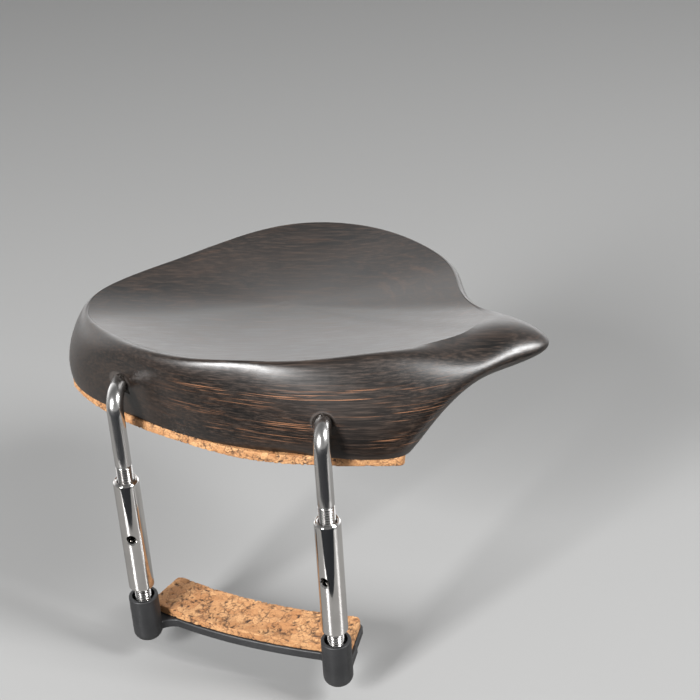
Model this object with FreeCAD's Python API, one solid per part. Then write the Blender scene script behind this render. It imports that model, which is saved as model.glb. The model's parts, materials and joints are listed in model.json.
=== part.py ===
"""Side-mounted violin chin rest with a two-rod screw clamp, one STEP file per piece.

Millimetres. X runs to the right along the end of the violin, Y into the instrument
towards its scroll, Z up. The origin is on the bottom of the upper cork pad, where the
rest sits on the violin's top, between the two clamps.
"""
import FreeCAD, Part
import math
import os

from FreeCAD import Vector as V

os.makedirs("parts", exist_ok=True)

# The violin's lower bout, as seen from above: a superellipse. Every pad and the
# bracket follow this line.
BOUT_HALF_WIDTH = 103.3
BOUT_HALF_LENGTH = 81.2
BOUT_POWER = 2.39
BOUT_CENTRE_X = 50.0     # the violin's centreline
BOUT_END_Y = -13.0       # the end of its body
BODY_HEIGHT = 38.6       # over both edges: the gap that the clamp closes on

# Upper cork pad: the line of its front edge, left end to right end
PAD_FRONT = [
    (-31.9, 17.6), (-26.2, 10.2), (-17.6, 3.1), (-7.5, -2.8), (4.0, -8.0), (16.0, -10.0), (31.0, -10.4),
]
PAD_WIDTH = 13.0
PAD_CORNER_R = 1.2
CORK = 1.8

# Lower bracket: a flat bar with its own cork, a socket outside each end
BAR = 1.8
BAR_WIDTH = 9.5
BAR_FROM_X = -19.4
BAR_TO_X = 20.2
BAR_CORNER_R = 1.2
BAR_EDGE_R = 0.3
BAR_INSET = 0.1
LOWER_CORK = 1.7
LOWER_CORK_SETBACK = 0.3
NECK_HALF_WIDTH = 2.1
NECK_FLARE = 2.2               # on the side towards the middle of the bar
NECK_WAIST = 2.3               # how far in from the clamp axis the neck is slimmest
NECK_OVERLAP = 3.0             # how far the neck runs on into the bar
SOCKET_R = 2.7
SOCKET_TOP = -33.8
SOCKET_BOTTOM = -43.4
SOCKET_BOTTOM_ROUND = 1.7
SOCKET_RIM_R = 0.2
SOCKET_MOUTH_R = 2.1
SOCKET_MOUTH_DEPTH = 1.6

# Clamp hardware
CLAMP_EDGE_X = (-17.4, 18.4)   # where along the bout each clamp stands
CLAMP_STANDOFF = 3.0           # clamp axis outside the violin's edge
ROD_R = 1.47                   # an M3 thread's crest
ROD_CHAMFER = 0.3
RUN_FIT = 0.05                 # radial gap of rod and stud in the barrel
PRESS_FIT = 0.01               # radial gap of rod in wood and stud in socket
HOOK_Z = 8.5                   # height of a hook rod's level leg
HOOK_BEND_R = 3.0
HOOK_REACH = 17.0              # clamp axis to the hidden end of the level leg
HOOK_RIM_DEPTH = (0.3, 0.65)   # the countersunk rim where each rod enters the wood
HOOK_RIM_LENGTH = (1.2, 2.6)   # of the 45-degree tool that cuts each rim
HOOK_ENTRY_Y = (3.5, -10.4)    # the plate's surface at each rod
ROD_END_Z = -16.0
BARREL_R = 2.33
BARREL_TOP = -8.1
BARREL_BOTTOM = -31.7
BARREL_CHAMFER = 0.35
BARREL_MOUTH_R = 1.85          # the countersunk mouth at each end of its bore
KEY_HOLE_R = 0.85
KEY_HOLE_TURN = (0.0, -26.0)   # degrees about Z, away from facing -Y
STUD_TOP = -22.0
STUD_FOOT = -42.0

CUT_CLEAR = 1.0                # how far a cutting tool runs on past a face
SAME_HEIGHT = 1e-6


def bout_point(x, inset):
    """The bout line at x, moved inwards by inset, at height 0."""
    across = abs(x - BOUT_CENTRE_X) / BOUT_HALF_WIDTH
    along = (1 - across ** BOUT_POWER) ** (1 / BOUT_POWER)
    y = BOUT_END_Y + BOUT_HALF_LENGTH * (1 - along)
    slope = across ** (BOUT_POWER - 1) * along ** (1 - BOUT_POWER)
    slope *= -BOUT_HALF_LENGTH / BOUT_HALF_WIDTH
    inward = V(-slope, 1, 0).normalize()
    return V(x, y, 0) + inward * inset


def smooth_edge(points):
    """One spline through the points."""
    curve = Part.BSplineCurve()
    curve.interpolate(points)
    return curve.toShape()


def smooth_ring(points):
    """One closed spline through the points."""
    curve = Part.BSplineCurve()
    curve.interpolate(Points=points, PeriodicFlag=True)
    return Part.Wire([curve.toShape()])


def inwards(points, inset):
    """The line of points moved inwards, square to its run."""
    moved = []
    for i, point in enumerate(points):
        run = points[min(i + 1, len(points) - 1)] - points[max(i - 1, 0)]
        moved.append(point + V(-run.y, run.x, 0).normalize() * inset)
    return moved


def strip(front, width, z_from, z_to, corner_r):
    """A flat strip behind its front line, with its upright corners rounded."""
    rear = list(reversed(inwards(front, width)))
    outline = Part.Wire([
        smooth_edge(front),
        Part.makeLine(front[-1], rear[0]),
        smooth_edge(rear),
        Part.makeLine(rear[-1], front[0]),
    ])
    body = Part.Face(outline).extrude(V(0, 0, z_to - z_from))
    body.translate(V(0, 0, z_from))
    upright = [edge for edge in body.Edges if edge.BoundBox.ZLength > SAME_HEIGHT]
    return body.makeFillet(corner_r, upright)


def level_edges(shape, z):
    """The edges of a shape that lie wholly at height z."""
    return [
        edge for edge in shape.Edges
        if abs(edge.BoundBox.ZMin - z) < SAME_HEIGHT and abs(edge.BoundBox.ZMax - z) < SAME_HEIGHT
    ]


def bout_line(x_from, x_to, inset):
    """Points along the bout line."""
    steps = 6
    return [bout_point(x_from + (x_to - x_from) * i / steps, inset) for i in range(steps + 1)]


# ---- The chin plate ---------------------------------------------------------------
# Stations run once round the plate from the middle of its front, anticlockwise seen
# from above: along the front to the horn, round the horn's tip, round the overhanging
# lip, and back along the left end. At each station the outer surface passes through
# four points: the crest round the dish, the shoulder below it, the side at its widest,
# and the foot of the side.
CREST = [
    (7.4, -4.9, 17.0), (19.7, -4.5, 17.4), (30.5, -1.8, 17.5), (37.5, 1.5, 17.4),
    (41.5, 5.0, 17.1), (43.4, 8.0, 16.9), (44.5, 10.5, 16.6), (44.4, 13.0, 16.2),
    (43.1, 16.3, 15.6), (40.8, 21.6, 15.3), (38.3, 33.0, 15.6), (31.6, 42.8, 16.2),
    (22.0, 49.8, 16.6), (9.0, 51.6, 16.8), (-3.0, 46.4, 16.5), (-14.0, 38.0, 15.7),
    (-23.0, 31.6, 14.9), (-27.3, 26.5, 14.3), (-27.4, 19.4, 14.0), (-23.8, 13.1, 14.6),
    (-14.5, 3.7, 15.8), (-4.1, -2.2, 16.4),
]
SHOULDER = [
    (7.2, -7.4, 15.8), (19.5, -8.2, 15.9), (31.0, -6.2, 16.0), (38.5, -3.6, 15.6),
    (44.6, 0.0, 15.8), (49.6, 4.0, 16.8), (52.2, 7.3, 16.6), (49.8, 11.2, 16.1),
    (44.6, 16.2, 15.3), (41.6, 21.8, 14.9), (39.2, 33.2, 15.2), (32.2, 43.7, 15.8),
    (22.3, 50.8, 16.1), (8.9, 52.6, 16.3), (-3.4, 47.3, 16.0), (-14.6, 38.8, 15.2),
    (-23.8, 32.3, 14.2), (-28.5, 27.0, 13.3), (-29.4, 19.6, 12.8), (-26.0, 11.6, 13.0),
    (-16.6, 1.9, 14.4), (-5.4, -4.5, 15.3),
]
SIDE = [
    (7.0, -8.3, 8.5), (19.0, -10.5, 8.5), (30.8, -9.8, 9.0), (38.3, -6.5, 11.5),
    (44.8, -2.4, 13.6), (51.2, 1.6, 14.2), (55.1, 5.0, 14.6), (51.2, 11.6, 14.7),
    (45.4, 16.4, 14.0), (42.0, 22.0, 13.5), (39.6, 33.3, 13.8), (32.4, 44.0, 14.4),
    (22.4, 51.2, 14.7), (8.8, 53.0, 14.8), (-3.6, 47.7, 14.5), (-14.9, 39.2, 13.5),
    (-24.4, 32.8, 12.0), (-29.6, 27.6, 10.0), (-31.6, 19.2, 8.0), (-28.2, 11.6, 8.0),
    (-18.0, 3.0, 8.5), (-6.4, -4.0, 8.5),
]
FOOT = [
    (7.0, -7.7, 1.0), (19.0, -9.9, 1.0), (30.6, -9.4, 1.0), (35.7, -5.6, 6.0),
    (43.0, 0.0, 11.0), (48.5, 4.0, 11.9), (51.5, 7.0, 12.5), (49.0, 11.5, 12.4),
    (44.2, 16.6, 12.0), (40.7, 22.0, 11.8), (38.0, 32.8, 12.0), (31.2, 42.5, 12.3),
    (21.8, 49.5, 12.3), (9.0, 51.2, 12.2), (-2.8, 46.0, 11.8), (-14.0, 37.8, 10.6),
    (-23.5, 31.8, 8.5), (-29.2, 27.5, 5.0), (-31.6, 19.0, 1.0), (-28.4, 12.4, 1.0),
    (-18.2, 4.0, 1.0), (-6.3, -3.3, 1.0),
]
DISH_CENTRE = V(8, 25, 12.5)
DISH_POWER = 1.8                 # how the dish rises from its centre to the crest
DISH_RINGS = (0.85, 0.7, 0.55, 0.4, 0.25, 0.12)
CAP_R = 1.0                      # the level middle of the dish and of the underside
UNDERSIDE_Z = 7.6                # under the dish's centre
UNDERSIDE_TILT = (0.06, 0.11)    # rise per mm along X and Y
UNDERSIDE_ARCH = (0.0012, 0.0035)   # rise per mm squared along X and Y
WALL_TURN_IN = 0.09              # share of the way in at which the foot's level face ends
WALL_FOOT_IN = 0.225             # and the share at which the arched underside starts
FOOT_BLOCK_TOP = 9.0
FOOT_BLOCK_INSET = 1.2
SEW_GAP = 1e-3
WASTE_SIZE = 200.0               # a block that trims what hangs below the cork's top
WASTE_DEPTH = 20.0


def underside_z(x, y):
    """The plate's underside, which clears the violin's arched top."""
    dx = x - DISH_CENTRE.x
    dy = y - DISH_CENTRE.y
    tilt = UNDERSIDE_TILT[0] * dx + UNDERSIDE_TILT[1] * dy
    arch = UNDERSIDE_ARCH[0] * dx * dx + UNDERSIDE_ARCH[1] * dy * dy
    return UNDERSIDE_Z + tilt + arch


def shrunk(points, share):
    """The points moved towards the dish's centre, in plan."""
    moved = []
    for x, y, z in points:
        moved.append(V(DISH_CENTRE.x + (x - DISH_CENTRE.x) * share,
                       DISH_CENTRE.y + (y - DISH_CENTRE.y) * share, z))
    return moved


def cap_ring(points, z):
    """A small level circle about the dish's centre, with a point for each station."""
    ring = []
    for x, y, _ in points:
        away = V(x - DISH_CENTRE.x, y - DISH_CENTRE.y, 0).normalize() * CAP_R
        ring.append(V(DISH_CENTRE.x + away.x, DISH_CENTRE.y + away.y, z))
    return smooth_ring(ring)


def dish_ring(share):
    """A closed line round the dish, at a share of the way out from its centre."""
    ring = []
    for crest, point in zip(CREST, shrunk(CREST, share)):
        rise = (crest[2] - DISH_CENTRE.z) * share ** DISH_POWER
        ring.append(V(point.x, point.y, DISH_CENTRE.z + rise))
    return smooth_ring(ring)


def plate_skin():
    """The plate as a closed skin, before the foot and the rod holes."""
    rings = [smooth_ring([V(*point) for point in row]) for row in (CREST, SHOULDER, SIDE, FOOT)]
    dish_cap = cap_ring(CREST, DISH_CENTRE.z)
    dish = Part.makeLoft([rings[0]] + [dish_ring(share) for share in DISH_RINGS] + [dish_cap])
    side = Part.makeLoft(rings)
    turn_in = smooth_ring(shrunk(FOOT, 1 - WALL_TURN_IN))
    inner = []
    for point in shrunk(FOOT, 1 - WALL_FOOT_IN):
        inner.append(V(point.x, point.y, underside_z(point.x, point.y)))
    inner_ring = smooth_ring(inner)
    under_cap = cap_ring(FOOT, UNDERSIDE_Z)
    faces = dish.Faces + side.Faces
    faces += Part.makeLoft([rings[3], turn_in], False, True).Faces
    faces += Part.makeLoft([turn_in, inner_ring], False, True).Faces
    faces += Part.makeLoft([inner_ring, under_cap], False, True).Faces
    faces += [Part.Face(dish_cap), Part.Face(under_cap)]
    shell = Part.makeShell(faces)
    shell.sewShape(SEW_GAP)
    solid = Part.makeSolid(shell)
    if solid.Volume < 0:
        solid.reverse()
    return solid


def clamp_axis(side):
    """The foot of a clamp's upright axis, at height 0; side 0 is the left clamp."""
    return bout_point(CLAMP_EDGE_X[side], -CLAMP_STANDOFF)


def chin_plate():
    """The wooden plate: its skin, the foot over the cork, and the holes for the rods."""
    plate = plate_skin()
    front = inwards([V(x, y, 0) for x, y in PAD_FRONT], FOOT_BLOCK_INSET)
    foot = strip(front, PAD_WIDTH - 2 * FOOT_BLOCK_INSET, CORK, FOOT_BLOCK_TOP, PAD_CORNER_R)
    plate = plate.fuse(foot)
    corner = V(-WASTE_SIZE / 2, -WASTE_SIZE / 2, CORK - WASTE_DEPTH)
    plate = plate.cut(Part.makeBox(WASTE_SIZE, WASTE_SIZE, WASTE_DEPTH, corner))
    for side in (0, 1):
        axis = clamp_axis(side)
        hole_r = ROD_R + PRESS_FIT
        hole = Part.makeCylinder(hole_r, HOOK_REACH, V(axis.x, axis.y, HOOK_Z), V(0, 1, 0))
        deepest = V(axis.x, HOOK_ENTRY_Y[side] + HOOK_RIM_DEPTH[side], HOOK_Z)
        length = HOOK_RIM_LENGTH[side]
        rim = Part.makeCone(hole_r, hole_r + length, length, deepest, V(0, -1, 0))
        plate = plate.cut(hole).cut(rim)
    return plate.removeSplitter()


# ---- The clamp --------------------------------------------------------------------
def hook_rod(side):
    """An L-shaped rod: level leg in the wood, a round bend, and the threaded leg."""
    axis = clamp_axis(side)
    corner = V(axis.x, axis.y, HOOK_Z)
    bend_low = corner - V(0, 0, HOOK_BEND_R)
    bend_far = corner + V(0, HOOK_BEND_R, 0)
    swing = HOOK_BEND_R * (1 - math.sqrt(0.5))
    bend_mid = corner + V(0, swing, -swing)
    path = Part.Wire([
        Part.makeLine(V(axis.x, axis.y, ROD_END_Z), bend_low),
        Part.Arc(bend_low, bend_mid, bend_far).toShape(),
        Part.makeLine(bend_far, corner + V(0, HOOK_REACH, 0)),
    ])
    section = Part.Wire([Part.makeCircle(ROD_R, V(axis.x, axis.y, ROD_END_Z), V(0, 0, 1))])
    rod = path.makePipeShell([section], True, False)
    ends = [
        edge for edge in rod.Edges
        if abs(edge.BoundBox.ZMax - ROD_END_Z) < SAME_HEIGHT
        or abs(edge.BoundBox.YMin - (axis.y + HOOK_REACH)) < SAME_HEIGHT
    ]
    return rod.makeChamfer(ROD_CHAMFER, ends)


def barrel(side):
    """The turnbuckle that joins a hook rod to the stud below, with its key hole."""
    axis = clamp_axis(side)
    bottom = V(axis.x, axis.y, BARREL_BOTTOM)
    body = Part.makeCylinder(BARREL_R, BARREL_TOP - BARREL_BOTTOM, bottom)
    body = body.makeChamfer(BARREL_CHAMFER, body.Edges)
    bore_r = ROD_R + RUN_FIT
    mouth_depth = BARREL_MOUTH_R - bore_r
    body = body.cut(Part.makeCylinder(bore_r, BARREL_TOP - BARREL_BOTTOM, bottom))
    for z, sense in ((BARREL_BOTTOM, 1), (BARREL_TOP, -1)):
        rim = V(axis.x, axis.y, z)
        body = body.cut(Part.makeCone(BARREL_MOUTH_R, bore_r, mouth_depth, rim, V(0, 0, sense)))
    turn = math.radians(KEY_HOLE_TURN[side])
    outward = V(math.sin(turn), -math.cos(turn), 0)
    middle = V(axis.x, axis.y, (BARREL_TOP + BARREL_BOTTOM) / 2)
    reach = BARREL_R + CUT_CLEAR
    key_hole = Part.makeCylinder(KEY_HOLE_R, 2 * reach, middle - outward * reach, outward)
    return body.cut(key_hole)


def lower_stud(side):
    """The threaded stud that stands in a socket of the lower bracket."""
    axis = clamp_axis(side)
    foot = V(axis.x, axis.y, STUD_FOOT)
    stud = Part.makeCylinder(ROD_R, STUD_TOP - STUD_FOOT, foot)
    rims = [edge for edge in stud.Edges if edge.BoundBox.ZLength < SAME_HEIGHT]
    return stud.makeChamfer(ROD_CHAMFER, rims)


def socket(side):
    """A round cup outside the edge, with a rounded bottom."""
    axis = clamp_axis(side)
    r = SOCKET_BOTTOM_ROUND
    low = SOCKET_BOTTOM
    top = SOCKET_TOP
    mid = r * (1 - math.sqrt(0.5))
    bottom_rim = V(SOCKET_R - r, 0, low)
    wall_foot = V(SOCKET_R, 0, low + r)
    profile = Part.Wire([
        Part.makeLine(V(0, 0, low), bottom_rim),
        Part.Arc(bottom_rim, V(SOCKET_R - mid, 0, low + mid), wall_foot).toShape(),
        Part.makeLine(wall_foot, V(SOCKET_R, 0, top)),
        Part.makeLine(V(SOCKET_R, 0, top), V(0, 0, top)),
        Part.makeLine(V(0, 0, top), V(0, 0, low)),
    ])
    cup = Part.Face(profile).revolve(V(0, 0, 0), V(0, 0, 1), 360)
    cup = cup.makeFillet(SOCKET_RIM_R, level_edges(cup, top))
    cup.translate(V(axis.x, axis.y, 0))
    return cup


def socket_neck(side):
    """The web from the bar to a socket, flaring into the bar on its inner side."""
    flares = ((0, NECK_FLARE), (NECK_FLARE, 0))[side]
    x = CLAMP_EDGE_X[side]
    axis = clamp_axis(side)
    outward = (axis - bout_point(x, 0)).normalize()
    along = V(-outward.y, outward.x, 0)
    edges = []
    corners = []
    for sense, flare in zip((-1, 1), flares):
        tip = axis + along * (sense * NECK_HALF_WIDTH)
        root = bout_point(x + sense * (NECK_HALF_WIDTH + flare), 2 * BAR_INSET)
        waist = tip - outward * NECK_WAIST
        curve = Part.BezierCurve()
        curve.setPoles([tip, waist, root])
        edges.append(curve.toShape())
        corners.append((tip, root, root - outward * NECK_OVERLAP))
    for first, second in ((corners[0][0], corners[1][0]), (corners[0][1], corners[0][2]),
                          (corners[0][2], corners[1][2]), (corners[1][2], corners[1][1])):
        edges.append(Part.makeLine(first, second))
    neck = Part.Face(Part.Wire(Part.__sortEdges__(edges))).extrude(V(0, 0, BAR))
    curved = [
        edge for edge in level_edges(neck, 0) + level_edges(neck, BAR)
        if not isinstance(edge.Curve, Part.Line)
    ]
    neck = neck.makeFillet(BAR_EDGE_R, curved)
    neck.translate(V(0, 0, -BODY_HEIGHT - LOWER_CORK - BAR))
    return neck


def lower_bracket():
    """The bar under the violin's back edge, with a socket for each stud."""
    top = -BODY_HEIGHT - LOWER_CORK
    bracket = strip(bout_line(BAR_FROM_X, BAR_TO_X, BAR_INSET), BAR_WIDTH, top - BAR, top, BAR_CORNER_R)
    bracket = bracket.makeFillet(BAR_EDGE_R, level_edges(bracket, top) + level_edges(bracket, top - BAR))
    for side in (0, 1):
        bracket = bracket.fuse(socket_neck(side))
        bracket = bracket.fuse(socket(side))
    for side in (0, 1):
        axis = clamp_axis(side)
        foot = V(axis.x, axis.y, STUD_FOOT)
        depth = SOCKET_TOP - STUD_FOOT + CUT_CLEAR
        bracket = bracket.cut(Part.makeCylinder(ROD_R + PRESS_FIT, depth, foot))
        mouth = V(axis.x, axis.y, SOCKET_TOP - SOCKET_MOUTH_DEPTH)
        bracket = bracket.cut(Part.makeCylinder(SOCKET_MOUTH_R, SOCKET_MOUTH_DEPTH + CUT_CLEAR, mouth))
    return bracket.removeSplitter()


def upper_cork_pad():
    """The cork lining under the plate's foot, which rests on the violin's top."""
    return strip([V(x, y, 0) for x, y in PAD_FRONT], PAD_WIDTH, 0, CORK, PAD_CORNER_R)


def lower_cork_pad():
    """The cork lining on the bar, a little smaller than the bar all round."""
    line = bout_line(BAR_FROM_X + LOWER_CORK_SETBACK, BAR_TO_X - LOWER_CORK_SETBACK,
                     BAR_INSET + LOWER_CORK_SETBACK)
    top = -BODY_HEIGHT
    return strip(line, BAR_WIDTH - 2 * LOWER_CORK_SETBACK, top - LOWER_CORK, top, BAR_CORNER_R)


def main():
    pieces = {
        "chin_plate": chin_plate(),
        "upper_cork_pad": upper_cork_pad(),
        "lower_bracket": lower_bracket(),
        "lower_cork_pad": lower_cork_pad(),
    }
    for side, word in enumerate(("left", "right")):
        pieces["hook_rod_" + word] = hook_rod(side)
        pieces["barrel_" + word] = barrel(side)
        pieces["lower_stud_" + word] = lower_stud(side)
    for name, shape in pieces.items():
        if len(shape.Solids) == 1:
            shape = shape.Solids[0]
        box = shape.BoundBox
        print(name, shape.ShapeType, len(shape.Solids), shape.isValid(), round(shape.Volume, 1),
              [round(v, 2) for v in (box.XMin, box.YMin, box.ZMin, box.XMax, box.YMax, box.ZMax)])
        shape.exportStep("parts/" + name + ".step")


if __name__ == "__main__":
    main()
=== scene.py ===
"""The looks of a side-mounted violin chin rest: ebony plate, cork linings, polished
steel clamp rods with real threads, turned barrels and a dark grey lower bracket.

Every length is in metres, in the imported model's own frame. MM turns millimetres into metres.
"""

import json
import math

import bmesh
import bpy
from mathutils import Matrix, Vector, noise


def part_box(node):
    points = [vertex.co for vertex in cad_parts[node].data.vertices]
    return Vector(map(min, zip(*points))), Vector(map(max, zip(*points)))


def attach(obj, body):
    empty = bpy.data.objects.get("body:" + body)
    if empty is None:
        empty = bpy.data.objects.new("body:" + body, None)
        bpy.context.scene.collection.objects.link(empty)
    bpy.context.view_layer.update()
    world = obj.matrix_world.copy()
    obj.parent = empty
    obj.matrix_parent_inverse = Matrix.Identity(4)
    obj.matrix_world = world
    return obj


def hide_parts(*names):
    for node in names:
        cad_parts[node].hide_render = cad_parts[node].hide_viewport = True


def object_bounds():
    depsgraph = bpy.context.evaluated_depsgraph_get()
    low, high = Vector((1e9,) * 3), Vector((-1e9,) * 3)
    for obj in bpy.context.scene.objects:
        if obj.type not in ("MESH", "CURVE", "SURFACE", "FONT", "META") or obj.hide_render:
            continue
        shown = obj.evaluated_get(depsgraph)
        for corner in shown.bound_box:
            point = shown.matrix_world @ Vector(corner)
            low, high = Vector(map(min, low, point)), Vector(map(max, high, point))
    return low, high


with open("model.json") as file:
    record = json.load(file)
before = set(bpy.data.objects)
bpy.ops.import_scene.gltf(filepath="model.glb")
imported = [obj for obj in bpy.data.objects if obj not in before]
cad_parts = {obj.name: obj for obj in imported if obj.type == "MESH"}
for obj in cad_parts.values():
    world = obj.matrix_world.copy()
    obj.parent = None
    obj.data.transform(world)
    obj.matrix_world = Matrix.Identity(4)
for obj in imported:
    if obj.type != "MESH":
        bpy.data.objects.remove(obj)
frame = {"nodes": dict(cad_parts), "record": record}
cad_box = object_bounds()
MM = 0.001
SIDES = ("left", "right")


# ---- Camera, floor and light ----------------------------------------------------
CAMERA_AT = (42.999, -208.546, 132.150)      # mm
CAMERA_YAW, CAMERA_PITCH, CAMERA_ROLL = 5.738, -28.898, -3.399   # degrees
CAMERA_LENS = 73.81                          # mm, on a 36 mm sensor
CLIP_NEAR, CLIP_FAR = 0.01, 20.0             # m
WALL_LIGHT = 3.6
WALL_TOP = 0.95                    # the Z of the direction at which the wall's light has faded out
WALL_FULL = 0.95                   # the Y of the direction at which it is brightest
HORIZON_LIGHT = 0.60
CEILING_LIGHT = 0.28
CEILING_FROM = 0.7                 # the Z of the direction from which the ceiling's light is even
SOFTBOX_DISTANCE = 0.75            # m
TABLE_EDGE_Y = -48.5 * MM          # the steel mirrors a bright table that ends here
FLOOR_GAP = 0.02 * MM              # below the bracket's lowest reach
CARD_GAP = 0.01 * MM
SHEET_HALF = 2.0                   # m
SHEET_IOR = 1.33                   # a weak sheen
FLOOR_COLOUR = (0.235, 0.235, 0.233, 1)
FLOOR_ROUGHNESS = 0.6
TABLE_COLOUR = (0.20, 0.197, 0.192, 1)
TABLE_ROUGHNESS = 0.24
DARK_COLOUR = (0.004, 0.005, 0.007, 1)
DARK_ROUGHNESS = 1.0


def make_camera():
    data = bpy.data.cameras.new("Camera")
    data.sensor_width = 36.0
    data.lens = CAMERA_LENS
    data.clip_start = CLIP_NEAR
    data.clip_end = CLIP_FAR
    camera = bpy.data.objects.new("Camera", data)
    bpy.context.scene.collection.objects.link(camera)
    turn = Matrix.Rotation(math.radians(CAMERA_YAW), 4, "Z")
    turn @= Matrix.Rotation(math.radians(90 + CAMERA_PITCH), 4, "X")
    turn @= Matrix.Rotation(math.radians(CAMERA_ROLL), 4, "Z")
    camera.matrix_world = Matrix.Translation(Vector(CAMERA_AT) * MM) @ turn
    bpy.context.scene.camera = camera


def softbox(name, azimuth, elevation, width, height, watts):
    """An area light that faces the object; azimuth 0 is in front (-Y), 90 is to the right."""
    data = bpy.data.lights.new(name, "AREA")
    data.shape = "RECTANGLE"
    data.size = width
    data.size_y = height
    data.energy = watts
    lamp = bpy.data.objects.new(name, data)
    bpy.context.scene.collection.objects.link(lamp)
    a = math.radians(azimuth)
    e = math.radians(elevation)
    towards = Vector((math.sin(a) * math.cos(e), -math.cos(a) * math.cos(e), math.sin(e)))
    middle = (cad_box[0] + cad_box[1]) / 2
    lamp.location = middle + towards * SOFTBOX_DISTANCE
    lamp.rotation_mode = "QUATERNION"
    lamp.rotation_quaternion = towards.to_track_quat("Z", "Y")


def make_world():
    """A studio with a bright wall low behind the object (+Y) and a dim ceiling."""
    world = bpy.data.worlds.new("Studio")
    bpy.context.scene.world = world
    world.use_nodes = True
    tree = world.node_tree
    tree.nodes.clear()
    out = tree.nodes.new("ShaderNodeOutputWorld")
    background = tree.nodes.new("ShaderNodeBackground")
    split = tree.nodes.new("ShaderNodeSeparateXYZ")
    direction = tree.nodes.new("ShaderNodeTexCoord")
    tree.links.new(direction.outputs["Generated"], split.inputs[0])
    low = between(tree, split.outputs["Z"], WALL_TOP, 0.0)
    behind = between(tree, split.outputs["Y"], 0.0, WALL_FULL)
    wall = maths(tree, "MULTIPLY", maths(tree, "MULTIPLY", low, behind), WALL_LIGHT)
    around = between(tree, split.outputs["Z"], 0.0, CEILING_FROM, HORIZON_LIGHT, CEILING_LIGHT)
    tree.links.new(maths(tree, "ADD", wall, around), background.inputs["Strength"])
    tree.links.new(background.outputs[0], out.inputs[0])


def level_sheet(name, z, y_from, y_to, colour, roughness):
    """A wide level sheet. It stages the object and isn't part of it."""
    mesh = bpy.data.meshes.new(name)
    half = SHEET_HALF
    corners = [(-half, y_from, z), (half, y_from, z), (half, y_to, z), (-half, y_to, z)]
    mesh.from_pydata(corners, [], [(0, 1, 2, 3)])
    sheet = bpy.data.objects.new(name, mesh)
    bpy.context.scene.collection.objects.link(sheet)
    material, shader = new_material(name)[:2]
    shader.inputs["Base Color"].default_value = colour
    shader.inputs["Roughness"].default_value = roughness
    shader.inputs["IOR"].default_value = SHEET_IOR
    paint(sheet, material)
    return sheet


def lowest_reach():
    """The height of the bracket's underside when the clamp is fully open."""
    joints = frame["record"]["behaviour"]["joints"]
    travel = next(joint for joint in joints if joint["name"] == "clamp_travel")
    return cad_box[0].z + travel["range_m"][0]


def make_floor():
    z = lowest_reach() - FLOOR_GAP
    level_sheet("Floor", z, -SHEET_HALF, SHEET_HALF, FLOOR_COLOUR, FLOOR_ROUGHNESS)


def make_table_cards():
    """What the steel mirrors: a glossy white table, and the dark room past its edge."""
    z = lowest_reach() - CARD_GAP
    bright = level_sheet("TableCard", z, TABLE_EDGE_Y, SHEET_HALF, TABLE_COLOUR, TABLE_ROUGHNESS)
    dark = level_sheet("DarkCard", z, -SHEET_HALF, TABLE_EDGE_Y, DARK_COLOUR, DARK_ROUGHNESS)
    for card in (bright, dark):
        card.visible_camera = False
        card.visible_diffuse = False
        card.visible_shadow = False
        card.visible_transmission = False


# ---- Material building ----------------------------------------------------------
def new_material(name):
    material = bpy.data.materials.new(name)
    material.use_nodes = True
    tree = material.node_tree
    tree.nodes.clear()
    out = tree.nodes.new("ShaderNodeOutputMaterial")
    shader = tree.nodes.new("ShaderNodeBsdfPrincipled")
    tree.links.new(shader.outputs[0], out.inputs[0])
    return material, shader, tree


def feed(tree, socket, value):
    """Links an output to a socket, or sets a plain value on it."""
    if isinstance(value, bpy.types.NodeSocket):
        tree.links.new(value, socket)
    else:
        socket.default_value = value


def stretched(tree, scale, turn=(0, 0, 0)):
    """Object coordinates, multiplied along each axis by a scale in noise cells per metre."""
    coords = tree.nodes.new("ShaderNodeTexCoord")
    mapping = tree.nodes.new("ShaderNodeMapping")
    mapping.inputs["Scale"].default_value = scale
    mapping.inputs["Rotation"].default_value = turn
    tree.links.new(coords.outputs["Object"], mapping.inputs[0])
    return mapping.outputs[0]


def noise_of(tree, vector, detail=3.0, rough=0.55, distortion=0.0):
    """Noise of about 0.3 to 0.7, over coordinates that are already scaled."""
    node = tree.nodes.new("ShaderNodeTexNoise")
    node.inputs["Scale"].default_value = 1.0
    node.inputs["Detail"].default_value = detail
    node.inputs["Roughness"].default_value = rough
    node.inputs["Distortion"].default_value = distortion
    tree.links.new(vector, node.inputs["Vector"])
    return node.outputs["Fac"]


def voronoi_of(tree, vector, feature="F1", output="Distance"):
    node = tree.nodes.new("ShaderNodeTexVoronoi")
    node.feature = feature
    node.inputs["Scale"].default_value = 1.0
    tree.links.new(vector, node.inputs["Vector"])
    return node.outputs[output]


def between(tree, value, low, high, to_low=0.0, to_high=1.0, smooth=False):
    """The value's place between low and high, mapped to the range to_low to to_high."""
    node = tree.nodes.new("ShaderNodeMapRange")
    if smooth:
        node.interpolation_type = "SMOOTHSTEP"
    tree.links.new(value, node.inputs["Value"])
    node.inputs["From Min"].default_value = low
    node.inputs["From Max"].default_value = high
    node.inputs["To Min"].default_value = to_low
    node.inputs["To Max"].default_value = to_high
    return node.outputs[0]


def maths(tree, operation, a, b=0.0):
    node = tree.nodes.new("ShaderNodeMath")
    node.operation = operation
    feed(tree, node.inputs[0], a)
    feed(tree, node.inputs[1], b)
    return node.outputs[0]


def mixed(tree, share, a, b):
    """Colours a and b, mixed by share."""
    node = tree.nodes.new("ShaderNodeMix")
    node.data_type = "RGBA"
    feed(tree, node.inputs["Factor"], share)
    feed(tree, node.inputs["A"], a)
    feed(tree, node.inputs["B"], b)
    return node.outputs["Result"]


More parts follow.
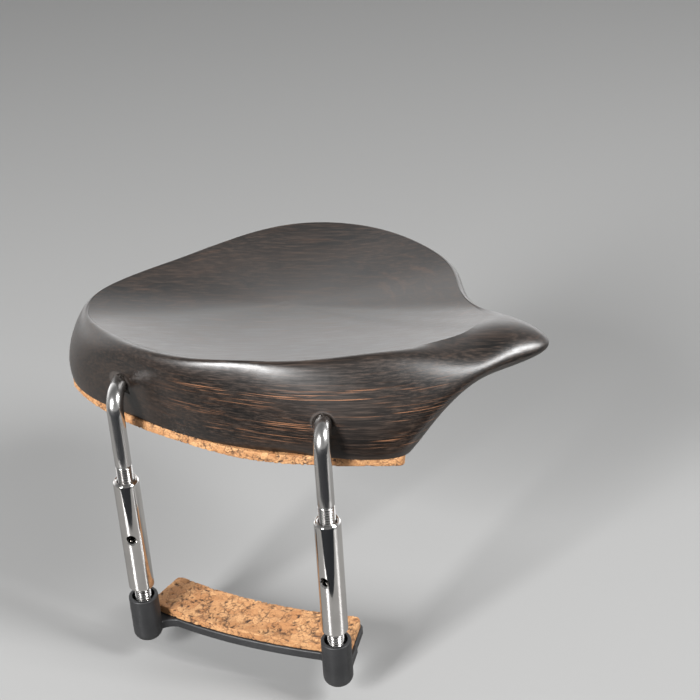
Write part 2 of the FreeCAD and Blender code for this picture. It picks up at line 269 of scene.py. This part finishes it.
def bumped(tree, shader, height, strength, distance):
    """Feeds a bump of the height, at most distance deep in metres, to the shader's normal."""
    node = tree.nodes.new("ShaderNodeBump")
    node.inputs["Strength"].default_value = strength
    node.inputs["Distance"].default_value = distance
    tree.links.new(height, node.inputs["Height"])
    tree.links.new(node.outputs[0], shader.inputs["Normal"])


def position_of(tree, axis):
    """The point's coordinate along X, Y or Z, in metres."""
    coords = tree.nodes.new("ShaderNodeTexCoord")
    split = tree.nodes.new("ShaderNodeSeparateXYZ")
    tree.links.new(coords.outputs["Object"], split.inputs[0])
    return split.outputs[axis]


RING_INNER = 0.55 * MM             # how far out from the rod the ring of wood starts to fade
RING_OUTER = 0.85 * MM


def rod_entry_rings(tree):
    """1 on the ring of wood around each rod's hole, where a lighter sheen is painted, and 0 elsewhere.
    """
    shares = []
    for side in SIDES:
        low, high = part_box("hook_rod_" + side)
        radius = (high.x - low.x) / 2
        across = maths(tree, "SUBTRACT", position_of(tree, "X"), (low.x + high.x) / 2)
        up = maths(tree, "SUBTRACT", position_of(tree, "Z"), high.z - radius)
        across = maths(tree, "MULTIPLY", across, across)
        up = maths(tree, "MULTIPLY", up, up)
        away = maths(tree, "SQRT", maths(tree, "ADD", across, up))
        shares.append(between(tree, away, radius + RING_OUTER, radius + RING_INNER, smooth=True))
    return maths(tree, "MAXIMUM", *shares)


EBONY_BLACK = (0.0018, 0.0014, 0.0012, 1)
EBONY_BROWN = (0.0090, 0.0055, 0.0038, 1)
EBONY_PORE = (0.030, 0.0185, 0.0125, 1)
EBONY_STREAK = (0.225, 0.100, 0.046, 1)
EBONY_RIM_SHEEN = (0.045, 0.038, 0.034, 1)
EBONY_IOR = 1.58
STREAK_TURN = (0.0, -0.05, 0.0)    # lays the streaks level on the front
# where the streaks show, each from none to full
STREAK_Y = (6.0 * MM, -1.0 * MM)
STREAK_X_LEFT = (-14 * MM, 0.0)
STREAK_X_RIGHT = (44 * MM, 28 * MM)
STREAK_Z_LOW = (2.5 * MM, 5.5 * MM)
STREAK_Z_HIGH = (15.5 * MM, 12.5 * MM)
STREAK_ON_HORN = 0.25              # share of the streaks left at the right
STREAK_ELSEWHERE = 0.06


def streak_place(tree):
    """1 over the middle of the plate's front, where the streaks show, and little elsewhere."""
    x = position_of(tree, "X")
    z = position_of(tree, "Z")
    front = between(tree, position_of(tree, "Y"), *STREAK_Y, smooth=True)
    inner = between(tree, x, *STREAK_X_LEFT, smooth=True)
    outer = between(tree, x, *STREAK_X_RIGHT, STREAK_ON_HORN, 1.0, smooth=True)
    low = between(tree, z, *STREAK_Z_LOW, smooth=True)
    high = between(tree, z, *STREAK_Z_HIGH, smooth=True)
    upright = maths(tree, "MULTIPLY", front, maths(tree, "MULTIPLY", low, high))
    place = maths(tree, "MULTIPLY", upright, maths(tree, "MULTIPLY", inner, outer))
    return maths(tree, "MAXIMUM", place, STREAK_ELSEWHERE)


def make_ebony():
    """Black-brown wood, its grain along X, with fine pores and thin orange-brown streaks."""
    material, shader, tree = new_material("Ebony")
    broad = noise_of(tree, stretched(tree, (35, 120, 300)), 2.0, 0.55, 0.3)
    fine = noise_of(tree, stretched(tree, (150, 2100, 3800)), 4.0, 0.7)
    colour = mixed(tree, between(tree, broad, 0.35, 0.68), EBONY_BLACK, EBONY_BROWN)
    colour = mixed(tree, between(tree, fine, 0.47, 0.70), colour, EBONY_PORE)
    # thin streaks in layers that lie nearly level, so they show as lines on the front
    streak = noise_of(tree, stretched(tree, (100, 160, 5000), STREAK_TURN), 3.0, 0.6, 0.3)
    where = noise_of(tree, stretched(tree, (60, 60, 420)), 2.0)
    streak = between(tree, streak, 0.55, 0.70, smooth=True)
    streak = maths(tree, "MULTIPLY", streak, between(tree, where, 0.36, 0.58, smooth=True))
    streak = maths(tree, "MULTIPLY", streak, streak_place(tree))
    colour = mixed(tree, streak, colour, EBONY_STREAK)
    # a lighter painted sheen on the ring of wood around each rod's hole
    colour = mixed(tree, maths(tree, "MULTIPLY", rod_entry_rings(tree), 0.6), colour, EBONY_RIM_SHEEN)
    feed(tree, shader.inputs["Base Color"], colour)
    feed(tree, shader.inputs["Roughness"], between(tree, fine, 0.3, 0.75, 0.30, 0.44))
    shader.inputs["IOR"].default_value = EBONY_IOR
    height = maths(tree, "ADD", fine, maths(tree, "MULTIPLY", streak, -0.4))
    bumped(tree, shader, height, 0.25, 0.03 * MM)
    return material


CORK_DARK = (0.30, 0.135, 0.048, 1)
CORK_LIGHT = (0.44, 0.240, 0.105, 1)
CORK_SPECK = (0.20, 0.075, 0.022, 1)
CORK_SEAM = (0.055, 0.020, 0.007, 1)
CORK_FLECK = (0.050, 0.018, 0.007, 1)
CORK_PIT_SHADE = (0.030, 0.012, 0.005, 1)
CORK_ROUGHNESS = 0.78


def make_cork():
    """Orange-tan agglomerated cork: uneven granules, painted shade in its pits, cracks and flecks."""
    material, shader, tree = new_material("Cork")
    warp = tree.nodes.new("ShaderNodeTexNoise")
    warp.inputs["Scale"].default_value = 900
    warp.inputs["Detail"].default_value = 2.0
    coords = tree.nodes.new("ShaderNodeTexCoord")
    tree.links.new(coords.outputs["Object"], warp.inputs["Vector"])
    wander = tree.nodes.new("ShaderNodeVectorMath")
    wander.operation = "MULTIPLY_ADD"
    tree.links.new(warp.outputs["Color"], wander.inputs[0])
    wander.inputs[1].default_value = (0.9, 0.9, 0.9)
    tree.links.new(stretched(tree, (620, 620, 900)), wander.inputs[2])
    granule = wander.outputs[0]
    shade = tree.nodes.new("ShaderNodeSeparateColor")
    tree.links.new(voronoi_of(tree, granule, output="Color"), shade.inputs[0])
    edge = voronoi_of(tree, granule, "DISTANCE_TO_EDGE")
    speck = noise_of(tree, stretched(tree, (3400, 3400, 3400)), 4.0, 0.7)
    fleck = noise_of(tree, stretched(tree, (1100, 1100, 2000)), 3.0, 0.6, 0.8)
    open_edge = noise_of(tree, stretched(tree, (420, 420, 420)), 2.0)
    colour = mixed(tree, shade.outputs[0], CORK_DARK, CORK_LIGHT)
    colour = mixed(tree, between(tree, speck, 0.46, 0.70, 0.0, 0.8), colour, CORK_SPECK)
    opened = between(tree, open_edge, 0.42, 0.62, 0.1, 0.95)
    seam = maths(tree, "MULTIPLY", between(tree, edge, 0.06, 0.0), opened)
    colour = mixed(tree, seam, colour, CORK_SEAM)
    colour = mixed(tree, between(tree, fleck, 0.62, 0.70, 0.0, 0.9), colour, CORK_FLECK)
    # painted shade: darker the deeper the skin is pressed in at a pit or open seam
    pit = tree.nodes.new("ShaderNodeAttribute")
    pit.attribute_name = "pit"
    colour = mixed(tree, pit.outputs["Fac"], colour, CORK_PIT_SHADE)
    feed(tree, shader.inputs["Base Color"], colour)
    shader.inputs["Roughness"].default_value = CORK_ROUGHNESS
    bumped(tree, shader, maths(tree, "ADD", speck, between(tree, edge, 0.0, 0.1)), 0.5, 0.05 * MM)
    return material


THREAD_ROOT_SHADE = (0.05, 0.046, 0.042, 1)    # painted shade in the roots of the threads
SMUDGE_SHADE = 0.86


def make_steel(name, colour, roughness, marks):
    """Polished steel with faint smudges, and fine marks whose scale along X, Y, Z is given."""
    material, shader, tree = new_material(name)
    smudge = noise_of(tree, stretched(tree, (420, 420, 150)), 3.0)
    scratch = noise_of(tree, stretched(tree, marks), 2.0)
    shader.inputs["Metallic"].default_value = 1.0
    dim = tuple(c * SMUDGE_SHADE for c in colour) + (1,)
    tone = mixed(tree, between(tree, smudge, 0.35, 0.7), colour + (1,), dim)
    root = tree.nodes.new("ShaderNodeAttribute")
    root.attribute_name = "root"
    # painted shade: the steel darkens the deeper a point lies in a thread's root
    tone = mixed(tree, between(tree, root.outputs["Fac"], 0.2, 0.8, 0.0, 0.9), tone, THREAD_ROOT_SHADE)
    feed(tree, shader.inputs["Base Color"], tone)
    uneven = between(tree, smudge, 0.3, 0.75, roughness * 0.8, roughness * 1.35)
    feed(tree, shader.inputs["Roughness"], uneven)
    bumped(tree, shader, scratch, 0.12, 0.004 * MM)
    return material


COAT_DARK = (0.0095, 0.0098, 0.0105, 1)
COAT_LIGHT = (0.0160, 0.0160, 0.0170, 1)
COAT_IOR = 1.45


def make_bracket_grey():
    """Dark grey satin finish on metal, with a fine even tooth."""
    material, shader, tree = new_material("BracketGrey")
    tooth = noise_of(tree, stretched(tree, (2200, 2200, 2200)), 3.0, 0.6)
    patch = noise_of(tree, stretched(tree, (180, 180, 220)), 2.0)
    colour = mixed(tree, between(tree, patch, 0.35, 0.7), COAT_DARK, COAT_LIGHT)
    feed(tree, shader.inputs["Base Color"], colour)
    feed(tree, shader.inputs["Roughness"], between(tree, tooth, 0.3, 0.7, 0.42, 0.58))
    shader.inputs["IOR"].default_value = COAT_IOR
    bumped(tree, shader, tooth, 0.6, 0.04 * MM)
    return material


def paint(piece, material):
    piece.data.materials.clear()
    piece.data.materials.append(material)


# ---- Mesh pieces ----------------------------------------------------------------
def add_piece(name, mesh, body, slot, material, *nodes):
    piece = bpy.data.objects.new(name, mesh)
    bpy.context.scene.collection.objects.link(piece)
    paint(piece, material)
    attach(piece, body)
    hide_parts(*nodes)
    return piece


def skin(name, rings):
    """A closed mesh through rings of equal length, with flat ends."""
    around = len(rings[0])
    points = [point for ring in rings for point in ring]
    faces = [tuple(reversed(range(around)))]
    for r in range(len(rings) - 1):
        for i in range(around):
            j = (i + 1) % around
            faces.append((r * around + i, r * around + j, (r + 1) * around + j, (r + 1) * around + i))
    faces.append(tuple(range((len(rings) - 1) * around, len(rings) * around)))
    mesh = bpy.data.meshes.new(name)
    mesh.from_pydata(points, [], faces)
    for face in mesh.polygons:
        face.use_smooth = True
    return mesh


def sharpen(mesh, degrees):
    """Marks edges sharper than the angle, so that they shade crisp."""
    work = bmesh.new()
    work.from_mesh(mesh)
    for edge in work.edges:
        edge.smooth = not edge.is_manifold or edge.calc_face_angle() < math.radians(degrees)
    work.to_mesh(mesh)
    work.free()


THREAD_PITCH = 0.5 * MM
THREAD_DEPTH = 0.27 * MM
THREAD_ROWS = 10          # rows of points for each turn
THREAD_FLANK = 1.2        # over 1, so the root is cut flat
AROUND = 48               # points in a ring
END_BEVEL = 0.3 * MM
THREADED_SHARP = 40       # degrees, the least angle of an edge that shades crisp


def thread_cut(height, angle):
    """How deep the thread is at a height and angle: sharp crests, narrow flat roots."""
    phase = (height / THREAD_PITCH + angle / math.tau) % 1.0
    flank = abs(phase - 0.5) * 2
    return THREAD_DEPTH * min(1.0, (1 - flank) * THREAD_FLANK)


def threaded_rings(axis, radius, z_from, z_to, fade_top, fade_bottom):
    """Rings up a threaded leg. The thread fades out over the given heights at each end."""
    steps = max(2, round((z_to - z_from) / THREAD_PITCH * THREAD_ROWS))
    rings = []
    for s in range(steps + 1):
        z = z_from + (z_to - z_from) * s / steps
        share = min(1.0, (z_to - z) / fade_top) if fade_top else 1.0
        tip = min(1.0, (z - z_from) / fade_bottom) if fade_bottom else 1.0
        ring = []
        for i in range(AROUND):
            angle = math.tau * i / AROUND
            r = min(radius - thread_cut(z, angle) * share, radius - END_BEVEL * (1 - tip))
            ring.append((axis.x + r * math.cos(angle), axis.y + r * math.sin(angle), z))
        rings.append(ring)
    return rings


def mark_roots(mesh, axis, radius, top):
    """Stores how deep in a thread each point below a height lies, for the painted shade there."""
    depths = []
    for vertex in mesh.vertices:
        away = math.hypot(vertex.co.x - axis.x, vertex.co.y - axis.y)
        depths.append(max(0.0, (radius - away) / THREAD_DEPTH) if vertex.co.z < top else 0.0)
    mesh.attributes.new("root", "FLOAT", "POINT").data.foreach_set("value", depths)


def clamp_axis(side):
    low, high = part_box("barrel_" + side)
    return Vector(((low.x + high.x) / 2, (low.y + high.y) / 2, 0))


THREAD_TOP = -4.9 * MM         # where a hook rod's thread starts
THREAD_FADE = 0.8              # of a pitch, over which it runs out into the plain leg
HOOK_BEND_R = 3.0 * MM
BEND_STEPS = 24
LEG_STEPS = 5


def make_hook_rod(side, material):
    node = "hook_rod_" + side
    low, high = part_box(node)
    radius = (high.x - low.x) / 2
    axis = Vector(((low.x + high.x) / 2, low.y + radius, 0))
    level = high.z - radius
    rings = threaded_rings(axis, radius, low.z, THREAD_TOP, THREAD_FADE * THREAD_PITCH, END_BEVEL)
    bend_centre = Vector((axis.x, axis.y + HOOK_BEND_R, level - HOOK_BEND_R))
    # the plain leg, then the bend, as rings square to the path
    stations = []
    for s in range(1, LEG_STEPS):
        z = THREAD_TOP + (bend_centre.z - THREAD_TOP) * s / LEG_STEPS
        stations.append((Vector((axis.x, axis.y, z)), 0.0, radius))
    for s in range(BEND_STEPS + 1):
        turn = math.pi / 2 * s / BEND_STEPS
        at = bend_centre + Vector((0, -math.cos(turn), math.sin(turn))) * HOOK_BEND_R
        stations.append((at, turn, radius))
    end_y = high.y
    stations.append((Vector((axis.x, end_y - END_BEVEL, level)), math.pi / 2, radius))
    stations.append((Vector((axis.x, end_y, level)), math.pi / 2, radius - END_BEVEL))
    for at, turn, r in stations:
        ring = []
        for i in range(AROUND):
            angle = math.tau * i / AROUND
            side_step = math.sin(angle) * r
            ring.append((at.x + math.cos(angle) * r, at.y + side_step * math.cos(turn),
                         at.z - side_step * math.sin(turn)))
        rings.append(ring)
    mesh = skin("HookRod_" + side, rings)
    mark_roots(mesh, axis, radius, THREAD_TOP)
    sharpen(mesh, THREADED_SHARP)
    return add_piece("hook_rod_steel_" + side, mesh, "upper_part", "rod_steel", material, node)


def make_stud(side, material):
    node = "lower_stud_" + side
    low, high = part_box(node)
    radius = (high.x - low.x) / 2
    axis = Vector(((low.x + high.x) / 2, (low.y + high.y) / 2, 0))
    rings = threaded_rings(axis, radius, low.z, high.z, 0, END_BEVEL)
    mesh = skin("Stud_" + side, rings)
    mark_roots(mesh, axis, radius, high.z)
    sharpen(mesh, THREADED_SHARP)
    return add_piece("stud_steel_" + side, mesh, "lower_part", "rod_steel", material, node)


BARREL_AROUND = 96
BARREL_ROWS = 56               # rows of faces up the plain wall
BARREL_CHAMFER = 0.35 * MM
BARREL_WALL = 0.48 * MM        # what is left of the rim between mouth and outside
BARREL_BORE_GAP = 0.05 * MM
BARREL_EDGE_R = 0.10 * MM
BARREL_SHARP = 28              # degrees
CORNER_STEPS = 4
KEY_FLARE = 0.28 * MM


def rounded_corner(corner, before, after, radius):
    """Points that round a corner of an outline of (r, z) points, as a quadratic curve."""
    corner = Vector(corner)
    start = corner + (Vector(before) - corner).normalized() * radius
    end = corner + (Vector(after) - corner).normalized() * radius
    points = []
    for s in range(CORNER_STEPS + 1):
        t = s / CORNER_STEPS
        points.append(start * (1 - t) ** 2 + corner * 2 * t * (1 - t) + end * t ** 2)
    return points


def barrel_outline(outer, bore, low, high):
    """The barrel's cross-section as a closed list of (r, z) points with rounded corners."""
    mouth = outer - BARREL_WALL
    drop = mouth - bore
    corners = [
        (outer, low + BARREL_CHAMFER),
        (outer, high - BARREL_CHAMFER),
        (outer - BARREL_CHAMFER, high),
        (mouth, high),
        (bore, high - drop),
        (bore, low + drop),
        (mouth, low),
        (outer - BARREL_CHAMFER, low),
    ]
    outline = []
    for i, corner in enumerate(corners):
        following = corners[(i + 1) % len(corners)]
        outline += rounded_corner(corner, corners[i - 1], following, BARREL_EDGE_R)
        if i in (0, 4):      # the long walls get rows of their own
            start = outline[-1]
            end = Vector(following)
            reach = 1 - BARREL_EDGE_R / (end - start).length
            for row in range(1, BARREL_ROWS):
                outline.append(start.lerp(end, row / BARREL_ROWS * reach))
    return outline


def turned_ring(name, outline, axis):
    """A closed mesh turned about a vertical axis from a closed (r, z) outline."""
    points = []
    faces = []
    count = len(outline)
    for i in range(BARREL_AROUND):
        angle = math.tau * i / BARREL_AROUND
        following = (i + 1) % BARREL_AROUND
        for k, (r, z) in enumerate(outline):
            points.append((axis.x + r * math.cos(angle), axis.y + r * math.sin(angle), z))
            after = (k + 1) % count
            here = i * count
            there = following * count
            faces.append((here + k, there + k, there + after, here + after))
    mesh = bpy.data.meshes.new(name)
    mesh.from_pydata(points, [], faces)
    return mesh


def key_hole_cutter(middle, outward, hole, reach):
    """A round bar through the barrel that widens where it leaves the wall at each end."""
    side = outward.cross(Vector((0, 0, 1)))
    rings = []
    flare_at = reach - KEY_FLARE
    stations = (
        (-reach - KEY_FLARE, hole + 2 * KEY_FLARE), (-flare_at, hole), (flare_at, hole),
        (reach + KEY_FLARE, hole + 2 * KEY_FLARE),
    )
    for along, r in stations:
        ring = []
        for i in range(AROUND):
            angle = math.tau * i / AROUND
            up = Vector((0, 0, r * math.sin(angle)))
            ring.append(middle + outward * along + side * r * math.cos(angle) + up)
        rings.append(ring)
    return skin("KeyCutter", rings)


def cut_away(mesh, cutter_mesh):
    """The mesh less the cutter, as a new mesh."""
    body = bpy.data.objects.new("Body", mesh)
    cutter = bpy.data.objects.new("Cutter", cutter_mesh)
    for item in (body, cutter):
        bpy.context.scene.collection.objects.link(item)
    cut = body.modifiers.new("Cut", "BOOLEAN")
    cut.operation = "DIFFERENCE"
    cut.solver = "EXACT"
    cut.object = cutter
    result = bpy.data.meshes.new_from_object(body.evaluated_get(bpy.context.evaluated_depsgraph_get()))
    for item in (body, cutter):
        bpy.data.objects.remove(item)
    return result


def outward_normals(mesh):
    work = bmesh.new()
    work.from_mesh(mesh)
    bmesh.ops.recalc_face_normals(work, faces=work.faces)
    for face in work.faces:
        face.smooth = True
    work.to_mesh(mesh)
    work.free()


def make_barrel(side, material):
    node = "barrel_" + side
    low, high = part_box(node)
    outer = (high.x - low.x) / 2
    axis = clamp_axis(side)
    stud_low, stud_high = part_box("lower_stud_" + side)
    bore = (stud_high.x - stud_low.x) / 2 + BARREL_BORE_GAP
    mesh = turned_ring("Barrel_" + side, barrel_outline(outer, bore, low.z, high.z), axis)
    outward_normals(mesh)
    mounts = frame["record"]["mounts"]
    hole = next(mount for mount in mounts if mount["name"] == side + "_key_hole")
    outward = Vector(hole["axis"]).normalized()
    cutter = key_hole_cutter(Vector(hole["pos_m"]), outward, hole["dims"]["r_mm"] * MM, outer)
    outward_normals(cutter)
    mesh = cut_away(mesh, cutter)
    outward_normals(mesh)
    sharpen(mesh, BARREL_SHARP)
    return add_piece("barrel_steel_" + side, mesh, side + "_turnbuckle", "barrel_steel", material, node)


CORK_VOXEL = 0.2 * MM
CORK_GRANULE = 1.1 * MM
CORK_SWELL = 0.05 * MM         # how uneven the skin is between the pits
CORK_PIT_DEPTH = 0.22 * MM
WELD = 0.001 * MM
# noise scales, per metre
WANDER_SCALE = 900
OPEN_SCALE = 420
HOLE_SCALE = 1150
SWELL_SCALE = 700
WANDER_SHIFT = Vector((7, 3, 5))   # so that the wander along Y differs from that along X
OPEN_SHIFT = Vector((3, 1, 9))
WANDER = 0.35                  # of a granule
SEAM_WIDTH = 0.13              # of a granule
HOLE_FROM = 0.42               # the noise at which a hole starts
HOLE_RAMP = 0.25


def clamped(value):
    return min(1.0, max(0.0, value))


def cork_pit(point):
    """How far a point of the cork's skin lies in a pit or an open seam, from 0 to 1."""
    wander_x = noise.noise(point * WANDER_SCALE)
    wander_y = noise.noise(point * WANDER_SCALE + WANDER_SHIFT)
    place = point / CORK_GRANULE + Vector((wander_x, wander_y, 0)) * WANDER
    near = noise.voronoi(place)[0]
    seam = max(0.0, 1 - (near[1] - near[0]) / SEAM_WIDTH)
    seam *= clamped(noise.noise(point * OPEN_SCALE + OPEN_SHIFT) * 3.0 + 0.1)
    hole = noise.fractal(point * HOLE_SCALE, 1.0, 2.0, 3)
    return max(seam, clamped((hole - HOLE_FROM) / HOLE_RAMP))


def make_cork_piece(name, node, body, material):
    """A cork lining with a crumbly skin, pressed inward from the lining's plain solid."""
    plain = frame["nodes"][node].data.copy()
    weld = bmesh.new()
    weld.from_mesh(plain)
    bmesh.ops.remove_doubles(weld, verts=weld.verts, dist=WELD)
    weld.to_mesh(plain)
    weld.free()
    source = bpy.data.objects.new(name + "_plain", plain)
    bpy.context.scene.collection.objects.link(source)
    remesh = source.modifiers.new("Grain", "REMESH")
    remesh.mode = "VOXEL"
    remesh.voxel_size = CORK_VOXEL
    mesh = bpy.data.meshes.new_from_object(source.evaluated_get(bpy.context.evaluated_depsgraph_get()))
    bpy.data.objects.remove(source)
    normals = [vertex.normal.copy() for vertex in mesh.vertices]
    depths = []
    for vertex, normal in zip(mesh.vertices, normals):
        pit = cork_pit(vertex.co)
        swell = 0.5 + 0.5 * noise.noise(vertex.co * SWELL_SCALE)
        depths.append(pit)
        vertex.co -= normal * (CORK_SWELL * swell + CORK_PIT_DEPTH * pit)
    # these depths also drive the painted shade in the cork's pits
    attribute = mesh.attributes.new("pit", "FLOAT", "POINT")
    attribute.data.foreach_set("value", depths)
    outward_normals(mesh)
    return add_piece(name, mesh, body, "cork", material, node)


# ---- Scene ----------------------------------------------------------------------
make_camera()
make_world()
make_floor()
make_table_cards()
softbox("Key", azimuth=-34, elevation=27, width=0.17, height=0.30, watts=13.0)
softbox("Rim", azimuth=68, elevation=40, width=0.20, height=0.24, watts=8.0)

ebony = make_ebony()
cork = make_cork()
rod_steel = make_steel("RodSteel", (0.56, 0.55, 0.54), 0.21, (2400, 2400, 420))
barrel_steel = make_steel("BarrelSteel", (0.60, 0.585, 0.57), 0.06, (60, 60, 9000))
bracket_grey = make_bracket_grey()

paint(frame["nodes"]["chin_plate"], ebony)
paint(frame["nodes"]["lower_bracket"], bracket_grey)
make_cork_piece("upper_cork_lining", "upper_cork_pad", "upper_part", cork)
make_cork_piece("lower_cork_lining", "lower_cork_pad", "lower_part", cork)
for side in SIDES:
    make_barrel(side, barrel_steel)
    make_hook_rod(side, rod_steel)
    make_stud(side, rod_steel)

bpy.context.scene.view_settings.view_transform = "Standard"
